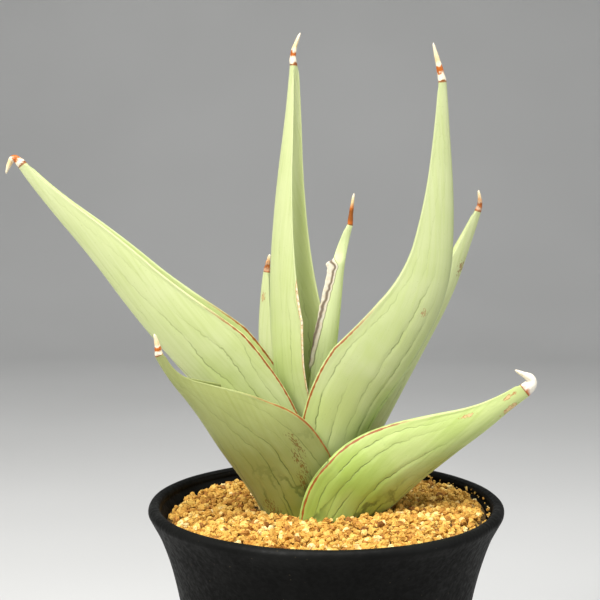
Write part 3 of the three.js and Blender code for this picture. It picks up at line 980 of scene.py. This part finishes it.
    def build(self, material: Material) -> Piece:
        """Makes the leaf's piece, closed at its foot and its tip.

        Args:
            material: The skin.

        Returns:
            The leaf.
        """
        points, layers = self.surface()
        rows, columns = points.shape[:2]
        poles = np.array([points[0].mean(0), points[-1].mean(0)])
        every = np.vstack([points.reshape(-1, 3), poles])
        values = {
            name: np.append(grid.ravel(), [grid[0].mean(), grid[-1].mean()])
            for name, grid in layers.items()
        }
        piece = make_piece(self.node + "_skin", every, tube_faces(rows, columns), values, material)
        fit_in(piece, "leaf", self.node)
        return piece


@dataclass
class Rosette:
    """The eight leaves, from the youngest in the middle to the two low ones in front."""

    leaves: tuple[Leaf, ...] = (
        Leaf(
            "leaf_inner_right", (0.5, 6), 0, 0, 109.5, (0, 1, 3, 5, 6, 4, 15),
            Girth(5, 8.5, 1.9), Girth(7, 8, 1.9), 0.4, 2, 1, 10.5, (4, 10), 11,
            red_reach=0.2, wrinkles=0.4, dry_on=Margin.LEFT_HANDED, dry=(0.55, 0.885, 2.7),
            flange=1.2, fire=1.0,
        ),
        Leaf(
            "leaf_tall_centre", (-9, 6), 180, 42, 164, (0, 14, 12, -1, -6, -9, -6),
            Girth(11.5, 19.5, 2.6), Girth(12, 12, 2.6), 0.48, 0.9, 1.05, 10.8, (8, -8, -22, -22), 12,
            red_reach=0.24, wrinkles=0.55, dry_on=Margin.RIGHT_HANDED, dry=(0.25, 0.56, 1.5),
        ),
        Leaf(
            "leaf_upper_left", (-14.5, 4), 180, 0, 158, (0, 28, 44, 42, 35, 40, 34),
            Girth(15, 25, 3.3), Girth(17, 18, 3.3), 0.42, 1.2, 1.2, 9.5, (44, 46, 150, 160, 160), 13,
            red_reach=0.5, wrinkles=0.8,
            scars=(
                Scar(0.35, 0.22, 2.4, 1.8, 0.5), Scar(0.325, 0.30, 2.8, 3.6, 0.55),
                Scar(0.34, 0.15, 1.8, 1.8, 0.6),
            ),
        ),
        Leaf(
            "leaf_tall_right", (6, 3), 0, 8, 165, (0, 16, 36, 26, 2, -5, -5),
            Girth(16, 25, 2.8), Girth(21, 20, 2.8), 0.35, 1.1, 1.2, 12.9, (-10, -16, -14), 14,
            red_reach=0.46, wrinkles=1.0, scars=(Scar(0.52, -0.35, 3.0, 2.0, 0.6),),
        ),
        Leaf(
            "leaf_lower_left", (-19, -2), 203, 0, 79.5, (0, 30, 36, 32, 39, 27),
            Girth(24, 27.5, 2.8), Girth(27, 27, 3), 0.3, 2.8, 3.4, 7, (5, 20), 15,
            red_reach=0.62, count=6.2, net=1.0,
            scars=(
                Scar(0.385, 0.81, 7.5, 1.8, 1.0), Scar(0.31, 0.73, 8.0, 2.0, 1.0),
                Scar(0.235, 0.66, 7.0, 1.7, 1.0), Scar(0.17, 0.20, 8.0, 4.0, 1.0),
            ),
        ),
        Leaf(
            "leaf_lower_right", (14, -0.5), -3, 18, 76.5, (0, 48, 47, 51, 52, 48, 52),
            Girth(23, 26.5, 5), Girth(30, 30, 5), 0.15, 1.75, 1.85, 11, (54, 40, -60, -65, -60), 16,
            red_reach=0.52, count=6.6, net=1.0, plain=1.0,
            scars=(
                Scar(0.93, -0.75, 5.0, 1.2, 0.15), Scar(0.74, -0.8, 5.0, 1.0, 0.15),
                Scar(0.9, -0.2, 6.0, 1.8, 0.2),
            ),
        ),
        Leaf(
            "leaf_back_left", (-15.7, 33), 180, 20, 92, (0, 9, 12, 6, -3, -9),
            Girth(9, 10.5, 2.6), Girth(9, 9, 2.6), 0.4, 1.4, 1.1, 6.4, (-5, -15), 17,
            red_reach=0.2, wrinkles=0.4, fire=0.7, scars=(Scar(0.9, 0.5, 3.5, 1.6, 0.4),),
        ),
        Leaf(
            "leaf_back_right", (9, 28), 5, 0, 122.5, (0, 26, 27, 28, 28, 18, 16),
            Girth(8, 11, 2.4), Girth(10, 11, 2.4), 0.5, 1.8, 1.2, 7.5, (26, -5, -13), 18,
            red_reach=0.2, wrinkles=0.6, fire=0.6, scars=(Scar(0.83, -0.3, 5.0, 2.4, 0.7),),
        ),
    )
    skin: LeafSkin = LeafSkin("waxy_leaf_skin")
    other_skins: dict[str, LeafSkin] = field(
        default_factory=lambda: {
            # The lower left leaf's skin is yellower. It is also darker all over: painted shade for the
            # shade that falls on that leaf.
            "leaf_lower_left": LeafSkin(
                "waxy_leaf_skin_yellowed_painted_shade",
                deep=(0.15, 0.17, 0.006),
                low=(0.235, 0.265, 0.050),
                middle=(0.285, 0.315, 0.098),
                pale=(0.35, 0.385, 0.14),
            ),
            "leaf_lower_right": LeafSkin(
                "waxy_leaf_skin_fresh",
                deep=(0.20, 0.29, 0.018),
                low=(0.34, 0.46, 0.085),
                middle=(0.47, 0.575, 0.185),
                pale=(0.53, 0.61, 0.25),
            ),
            "leaf_inner_right": LeafSkin(
                "waxy_leaf_skin_young",
                low=(0.55, 0.65, 0.24),
                middle=(0.68, 0.77, 0.37),
                pale=(0.70, 0.78, 0.40),
            ),
            "leaf_tall_right": LeafSkin(
                "waxy_leaf_skin_older", middle=(0.455, 0.52, 0.228), pale=(0.53, 0.58, 0.30)
            ),
        }
    )

    def build(self) -> list[Piece]:
        """Makes every leaf, four of them with skins of their own.

        Returns:
            The leaves.
        """
        skin = self.skin.material()
        others = {node: other.material() for node, other in self.other_skins.items()}
        return [leaf.build(others.get(leaf.node, skin)) for leaf in self.leaves]


# ---- Pot ----


@dataclass
class Pot:
    """A turned pot with a rolled lip, a flare below it and three drain holes."""

    height: float = 105.0
    base_radius: float = 41.5
    taper: float = 10.0
    flare: float = 9.5
    flare_power: float = 5.5
    wall: float = 4.0
    floor: float = 6.0
    lip_middle: float = 57.9
    bead: float = 2.1
    holes: int = 3
    hole_ring: float = 18.0
    hole_radius: float = 4.5
    columns: int = 192
    unevenness: float = 0.8
    outside_share: float = 0.62
    hole_columns: int = 32
    drill_levels: Span = (-4.0, 10.0)

    def radius(self, height: Array) -> Array:
        """Outer radius: a straight taper plus a flare that grows as a power of the height."""
        share = height / self.height
        return self.base_radius + self.taper * share + self.flare * share**self.flare_power

    def profile(self) -> Array:
        """Radius and height from under the foot, up the outside, over the lip and down to the floor.

        Returns:
            The points; every outline corner is cut round.
        """
        rise = np.linspace(1.6, 96.0, 46)
        arc = np.pi * np.linspace(-0.12, 1.12, 22)
        fall = np.linspace(99.2, 11.0, 30)
        under = np.array([[r, 0.0] for r in (8.0, 13.0, 18.0, 23.0, 28.0, 34.0, 39.6)])
        outside = np.stack([self.radius(rise), rise], 1)
        bead_height = self.height - self.bead + self.bead * np.sin(arc)
        lip = np.stack([self.lip_middle + self.bead * np.cos(arc), bead_height], 1)
        inside = np.stack([self.radius(fall) - self.wall, fall], 1)
        ground = np.array([[r, self.floor] for r in (37.6, 32.0, 28.0, 23.0, 18.0, 13.0, 8.0)])
        return rounded(np.vstack([under, outside, lip, inside, ground]), 1)

    def build(self) -> Piece:
        """Turns the profile about the axis, makes it slightly uneven outside, and drills the floor.

        Returns:
            The pot.
        """
        line = self.profile()
        angle = np.linspace(0, 2 * np.pi, self.columns, endpoint=False)
        radius, height = line[:, :1], line[:, 1:]
        outside = np.arange(len(line))[:, None] < int(len(line) * self.outside_share)
        outer = outside * smooth((height - 1.0) / 8)
        uneven = 0.10 * np.sin(3 * angle + height / 21) + 0.07 * np.sin(7 * angle - height / 9)
        uneven = uneven + 0.05 * np.sin(17 * angle + height / 5.0)
        radius = radius + (uneven - 0.22) * outer * self.unevenness
        height = np.broadcast_to(height, radius.shape)
        grid = np.stack([radius * np.cos(angle), radius * np.sin(angle), height], -1)
        poles = np.array([[0.0, 0.0, 0.0], [0.0, 0.0, self.floor]])
        points = np.vstack([grid.reshape(-1, 3), poles])
        faces = tube_faces(len(line), self.columns)
        pot = make_piece("pot_body", points, faces, {}, PotFinish().material())
        self.drill(pot)
        fit_in(pot, "pot_body", "pot")
        return pot

    def drill(self, pot: Piece) -> None:
        """Cuts the drain holes right through the floor."""
        turn = np.linspace(0, 2 * np.pi, self.hole_columns, endpoint=False)
        levels, shape = np.array(self.drill_levels), (2, self.hole_columns)
        for i in range(self.holes):
            angle = 2 * math.pi * (i + 0.25) / self.holes
            ring = np.stack([self.hole_radius * np.cos(turn), self.hole_radius * np.sin(turn)], 1)
            ring = ring + self.hole_ring * np.array([math.cos(angle), math.sin(angle)])
            rings, heights = np.broadcast_to(ring, (*shape, 2)), levels[:, None, None]
            bar = np.concatenate([rings, np.broadcast_to(heights, (*shape, 1))], -1).reshape(-1, 3)
            ends = np.array([[*ring.mean(0), level] for level in levels])
            finish = pot.data.materials[0]
            drill = make_piece(f"drill_{i}", np.vstack([bar, ends]), tube_faces(*shape), {}, finish)
            cut = pot.modifiers.new("drain_hole", "BOOLEAN")
            cut.operation, cut.object, cut.solver = "DIFFERENCE", drill, "EXACT"
            drilled = pot.evaluated_get(bpy.context.evaluated_depsgraph_get())
            mesh = bpy.data.meshes.new_from_object(drilled)
            pot.modifiers.clear()
            pot.data = mesh
            bpy.data.objects.remove(drill)


# ---- Gravel ----


@dataclass
class GravelBed:
    """Golden grit over the mix: a packed bed darkened as painted shade, with loose angular grains lying
    on it.
    """

    top: float = 101.3
    depth: float = 6.0
    crown: float = 0.6
    slope: float = 0.022
    edge: float = 53.6
    sink: float = 0.9
    spacing: float = 2.0
    grain: float = 2.6
    pieces: int = 4
    columns: int = 160
    rings: int = 58
    row_pitch: float = 0.87
    jitter: float = 0.42
    courses: tuple[Point, ...] = ((-0.95, 0.0, 1.0), (0.15, 0.9, 0.8))
    stuck_grains: int = 46
    stuck_bearings: Span = (-48.0, 46.0)
    lip_face: float = 54.3
    ball_rings: int = 4
    ball_columns: int = 6
    cuts: int = 7
    seed: int = 77

    def level(self, x: Array, y: Array) -> Array:
        """The gravel's height: a slight crown half-way out, sloping up to the right."""
        out = np.hypot(x, y) / (self.edge / 2)
        return self.top + self.crown * (1 - np.abs(out - 1)) + self.slope * x

    def bed(self) -> Piece:
        """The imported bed: rings of points on the lowered, pitted level, closed down its side.

        Returns:
            The bed.
        """
        angle = np.linspace(0, 2 * np.pi, self.columns, endpoint=False)
        radius = np.linspace(self.edge, 0.8, self.rings)[:, None]
        x, y = radius * np.cos(angle), radius * np.sin(angle)
        pits = rolling(x / 1.6, y / 1.6, 31) * 0.35 + rolling(x / 6, y / 6, 32) * 0.3
        z = self.level(x, y) - self.sink + pits
        foot = np.full((1, self.columns), self.top - self.depth)
        ring_x, ring_y = self.edge * np.cos(angle)[None], self.edge * np.sin(angle)[None]
        grid = np.stack([np.vstack([ring_x, x]), np.vstack([ring_y, y]), np.vstack([foot, z])], -1)
        poles = np.array([[0, 0, self.top - self.depth], [0, 0, self.top - self.sink]])
        points = np.vstack([grid.reshape(-1, 3), poles])
        tone = 0.35 + 0.4 * rolling(points[:, 0] / 1.1, points[:, 1] / 1.1, 33)
        # The bed's grit is darkened to 0.13 of the grains' colour: painted shade for the shade between
        # the loose grains.
        finish = GritFinish("grit_bed_painted_shade", 0.13).material()
        faces = tube_faces(self.rings + 1, self.columns)
        bed = make_piece("gravel_bed", points, faces, {"tone": tone}, finish)
        fit_in(bed, "gravel", "gravel_top_dressing")
        return bed

    def places(self, rng: np.random.Generator) -> Array:
        """Where the grains lie: jittered hexagonal rows in two courses, and some on the lip's inside.

        Args:
            rng: The seeded source of chance.

        Returns:
            A row for each grain: its centre and its size.
        """
        courses = []
        pitch = self.spacing * self.row_pitch
        for lift, shift, kept in self.courses:
            count = int(self.edge / pitch) + 2
            i, j = np.meshgrid(np.arange(-count, count + 1), np.arange(-count, count + 1))
            x = ((i + 0.5 * (j % 2)) * self.spacing + shift).ravel()
            y = (j * self.spacing * self.row_pitch + shift).ravel()
            x = x + rng.normal(0, self.jitter, x.size)
            y = y + rng.normal(0, self.jitter, y.size)
            size = self.grain * rng.uniform(0.68, 1.32, x.size)
            z = self.level(x, y) + lift + rng.normal(0, self.jitter, x.size)
            keep = np.hypot(x, y) < self.edge - 0.2 - size / 2
            keep &= rng.random(x.size) < kept
            courses.append(np.stack([x, y, z, size], 1)[keep])
        bearing = np.radians(rng.uniform(*self.stuck_bearings, self.stuck_grains))
        height = rng.uniform(102.0, 103.6, bearing.size)
        size = rng.uniform(0.5, 1.25, bearing.size)
        out = self.lip_face + (height - self.top) * 0.45 - size * 0.3
        stuck = np.stack([out * np.cos(bearing), out * np.sin(bearing), height, size], 1)
        return np.vstack([*courses, stuck])

    def clear(self, places: Array, leaves: list[Piece]) -> Array:
        """Leaves out the grains whose middle lies in a leaf or nearly touches it."""
        kept = np.ones(len(places), bool)
        depsgraph = bpy.context.evaluated_depsgraph_get()
        for leaf in leaves:
            tree = BVHTree.FromObject(leaf, depsgraph)
            for i in np.flatnonzero(kept):
                centre = Vector(places[i, :3] * MM)
                spot, normal, _, gap = tree.find_nearest(centre, 0.03)
                if spot is None:
                    continue
                inside = (centre - spot).dot(normal) < 0
                kept[i] = not inside and gap > 0.34 * places[i, 3] * MM
        return places[kept]

    def stone(self) -> tuple[Array, Array]:
        """A ball of a few rings of points and two poles, as a start for every grain.

        Returns:
            Its points and its triangles.
        """
        lift = np.radians([-54, -18, 18, 54])[:, None]
        turn = np.linspace(0, 2 * np.pi, self.ball_columns, endpoint=False)
        turn = turn + np.arange(self.ball_rings)[:, None] * 0.5
        heights = np.broadcast_to(np.sin(lift), turn.shape)
        rings = np.stack([np.cos(lift) * np.cos(turn), np.cos(lift) * np.sin(turn), heights], -1)
        points = np.vstack([rings.reshape(-1, 3), [[0, 0, -1], [0, 0, 1]]])
        faces = tube_faces(self.ball_rings, self.ball_columns)
        corners = [[face[0], face[i], face[i + 1]] for face in faces for i in range(1, len(face) - 1)]
        return points, np.array(corners)

    def grains(self, places: Array, rng: np.random.Generator) -> tuple[Array, Array]:
        """Breaks a ball into each grain: stretched, turned at random, and cut flat by planes.

        A plane's cut moves every point beyond it straight back onto it.

        Args:
            places: Each grain's centre and size.
            rng: The seeded source of chance.

        Returns:
            The grains' points, and each point's tone.
        """
        ball, _ = self.stone()
        count = len(places)
        stretch = rng.uniform(0.72, 1.22, (count, 1, 3))
        points = ball[None] * stretch
        planes = rng.normal(size=(count, self.cuts, 3))
        planes /= np.linalg.norm(planes, axis=-1, keepdims=True)
        reach = rng.uniform(0.42, 0.74, (count, self.cuts))
        for k in range(self.cuts):
            beyond = np.einsum("cpi,ci->cp", points, planes[:, k]) - reach[:, k, None]
            points = points - np.maximum(beyond, 0)[..., None] * planes[:, k, None]
        turns, _ = np.linalg.qr(rng.normal(size=(count, 3, 3)))
        turns = turns * np.sign(np.linalg.det(turns))[:, None, None]
        points = np.einsum("cpi,cij->cpj", points, turns) * places[:, None, 3:] / 2
        tone = np.clip(rng.normal(0.55, 0.23, (count, 1)), 0.02, 1.0)
        return points + places[:, None, :3], np.broadcast_to(tone, points.shape[:2])

    def build(self, leaves: list[Piece]) -> None:
        """Makes the bed and shares the loose grains among a few pieces."""
        rng = np.random.default_rng(self.seed)
        self.bed()
        places = self.clear(self.places(rng), leaves)
        points, tone = self.grains(places, rng)
        _, corners = self.stone()
        finish = GritFinish().material()
        for part in range(self.pieces):
            some = points[part :: self.pieces]
            first = np.arange(len(some))[:, None, None] * some.shape[1]
            faces = (corners[None] + first).reshape(-1, 3).tolist()
            layers = {"tone": tone[part :: self.pieces]}
            name = f"grit_grains_{part + 1}"
            piece = make_piece(name, some.reshape(-1, 3), faces, layers, finish, facets=True)
            fit_in(piece, "gravel")


# ---- Fill ----


@dataclass
class Fill:
    """What lies under the gravel, kept as the CAD has it and given its own finishes."""

    finishes: dict[str, EarthFinish] = field(
        default_factory=lambda: {
            "drain_mesh": EarthFinish(
                "mesh_black_plastic", (0.012, 0.012, 0.012), (0.03, 0.03, 0.03), 6.0, 0.05, 0.5
            ),
            "drainage_stones": EarthFinish(
                "pumice_stones", (0.16, 0.125, 0.09), (0.52, 0.46, 0.37), 8.0, 2.2
            ),
            "potting_mix": EarthFinish(
                "dark_potting_mix", (0.018, 0.011, 0.006), (0.11, 0.07, 0.04), 3.0, 1.2
            ),
            "rhizome": EarthFinish(
                "rhizome_flesh", (0.30, 0.20, 0.09), (0.62, 0.50, 0.28), 9.0, 0.3, 0.55
            ),
        }
    )

    def dress(self) -> None:
        """Puts each finish on its CAD node."""
        for node, finish in self.finishes.items():
            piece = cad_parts[node]
            piece.data.materials.clear()
            piece.data.materials.append(finish.material())
            LOG.info("%s: dressed", node)


# ---- Studio ----


@dataclass
class Lamp:
    """A square soft light: its place and aim in metres, its width and its power."""

    name: str
    place: Point
    aim: Point
    width: float
    power: float
    colour: Colour = (1.0, 1.0, 1.0)

    def build(self) -> None:
        """Hangs the light and turns it to its aim."""
        data = bpy.data.lights.new(self.name, "AREA")
        data.size, data.energy, data.color = self.width, self.power, self.colour
        lamp = bpy.data.objects.new(self.name, data)
        lamp.location = self.place
        way = Vector(self.aim) - Vector(self.place)
        lamp.rotation_euler = way.to_track_quat("-Z", "Y").to_euler()
        show(lamp)


@dataclass
class Studio:
    """A pale sweep of paper, soft lights and the camera."""

    lamps: tuple[Lamp, ...] = (
        Lamp("key_front_left", (-0.44, -0.46, 0.80), (0, 0, 0.17), 0.45, 9.8, (1.0, 0.985, 0.95)),
        Lamp("overhead", (0.05, -0.12, 0.86), (0, 0, 0.12), 0.4, 5.6),
        Lamp("fill_right", (0.85, -0.40, 0.50), (0, 0, 0.18), 0.6, 2.2, (0.95, 0.97, 1.0)),
    )
    camera_place: Point = (-0.0088, -0.437, 0.2205)
    camera_tilt: float = 83.8
    lens: float = 79.2
    glow_colour: tuple[float, ...] = (0.93, 0.95, 0.98, 1.0)
    glow: float = 0.27
    sweep_columns: int = 40

    def sweep(self) -> None:
        """A floor curving up into a backdrop: a level, a quarter-round and an upright, drawn wide."""
        turn = np.linspace(0, np.pi / 2, 24)
        level = np.stack([np.linspace(-2.5, 1.0, 20), np.zeros(20)], 1)
        curve = np.stack([1.0 + 0.6 * np.sin(turn), 0.6 * (1 - np.cos(turn))], 1)
        upright = np.stack([np.full(8, 1.6), np.linspace(0.7, 3.2, 8)], 1)
        line = np.vstack([level, curve, upright])
        wide = self.sweep_columns
        x = np.broadcast_to(np.linspace(-3.0, 3.0, wide), (len(line), wide))
        grid = np.stack([x, *(np.repeat(line[:, i : i + 1], wide, 1) for i in (0, 1))], -1)
        here = (np.arange(len(line) - 1)[:, None] * wide + np.arange(wide - 1)).ravel()
        faces = np.stack([here, here + 1, here + wide + 1, here + wide], -1).tolist()
        desk = NodeDesk("pale_paper")
        place = desk.place()
        fibre = desk.noise(place, 900.0, 3.0)
        clouds = desk.span(desk.noise(place, 3.0), 0.3, 0.7)
        colour = desk.blend(clouds, (0.60, 0.60, 0.59), (0.64, 0.64, 0.63))
        desk.shade(Base_Color=colour, Roughness=0.9, Normal=desk.relief(fibre, 0.04))
        mesh = bpy.data.meshes.new("paper_sweep")
        mesh.from_pydata(grid.reshape(-1, 3).tolist(), [], faces)
        mesh.polygons.foreach_set("use_smooth", np.full(len(mesh.polygons), True))
        mesh.materials.append(desk.material)
        sweep = bpy.data.objects.new("paper_sweep", mesh)
        show(sweep)

    def build(self) -> None:
        """Sets up the sweep, the lights, the room's glow and the camera."""
        self.sweep()
        for lamp in self.lamps:
            lamp.build()
        world = bpy.data.worlds.new("soft_room")
        world.use_nodes = True
        background = world.node_tree.nodes["Background"]
        background.inputs[0].default_value = self.glow_colour
        background.inputs[1].default_value = self.glow
        bpy.context.scene.world = world
        bpy.context.scene.view_settings.view_transform = "Standard"
        data = bpy.data.cameras.new("camera")
        data.sensor_width, data.lens = 36.0, self.lens
        data.clip_start, data.clip_end = 0.01, 20.0
        camera = bpy.data.objects.new("camera", data)
        camera.location = self.camera_place
        camera.rotation_euler = (math.radians(self.camera_tilt), 0.0, 0.0)
        show(camera)
        bpy.context.scene.camera = camera


def main() -> None:
    """Builds the studio, the pot, the fill, the leaves and the gravel."""
    logging.basicConfig(level=logging.INFO, format="%(name)s: %(message)s")
    Studio().build()
    Pot().build()
    Fill().dress()
    leaves = Rosette().build()
    GravelBed().build(leaves)


if __name__ == "__main__":
    main()
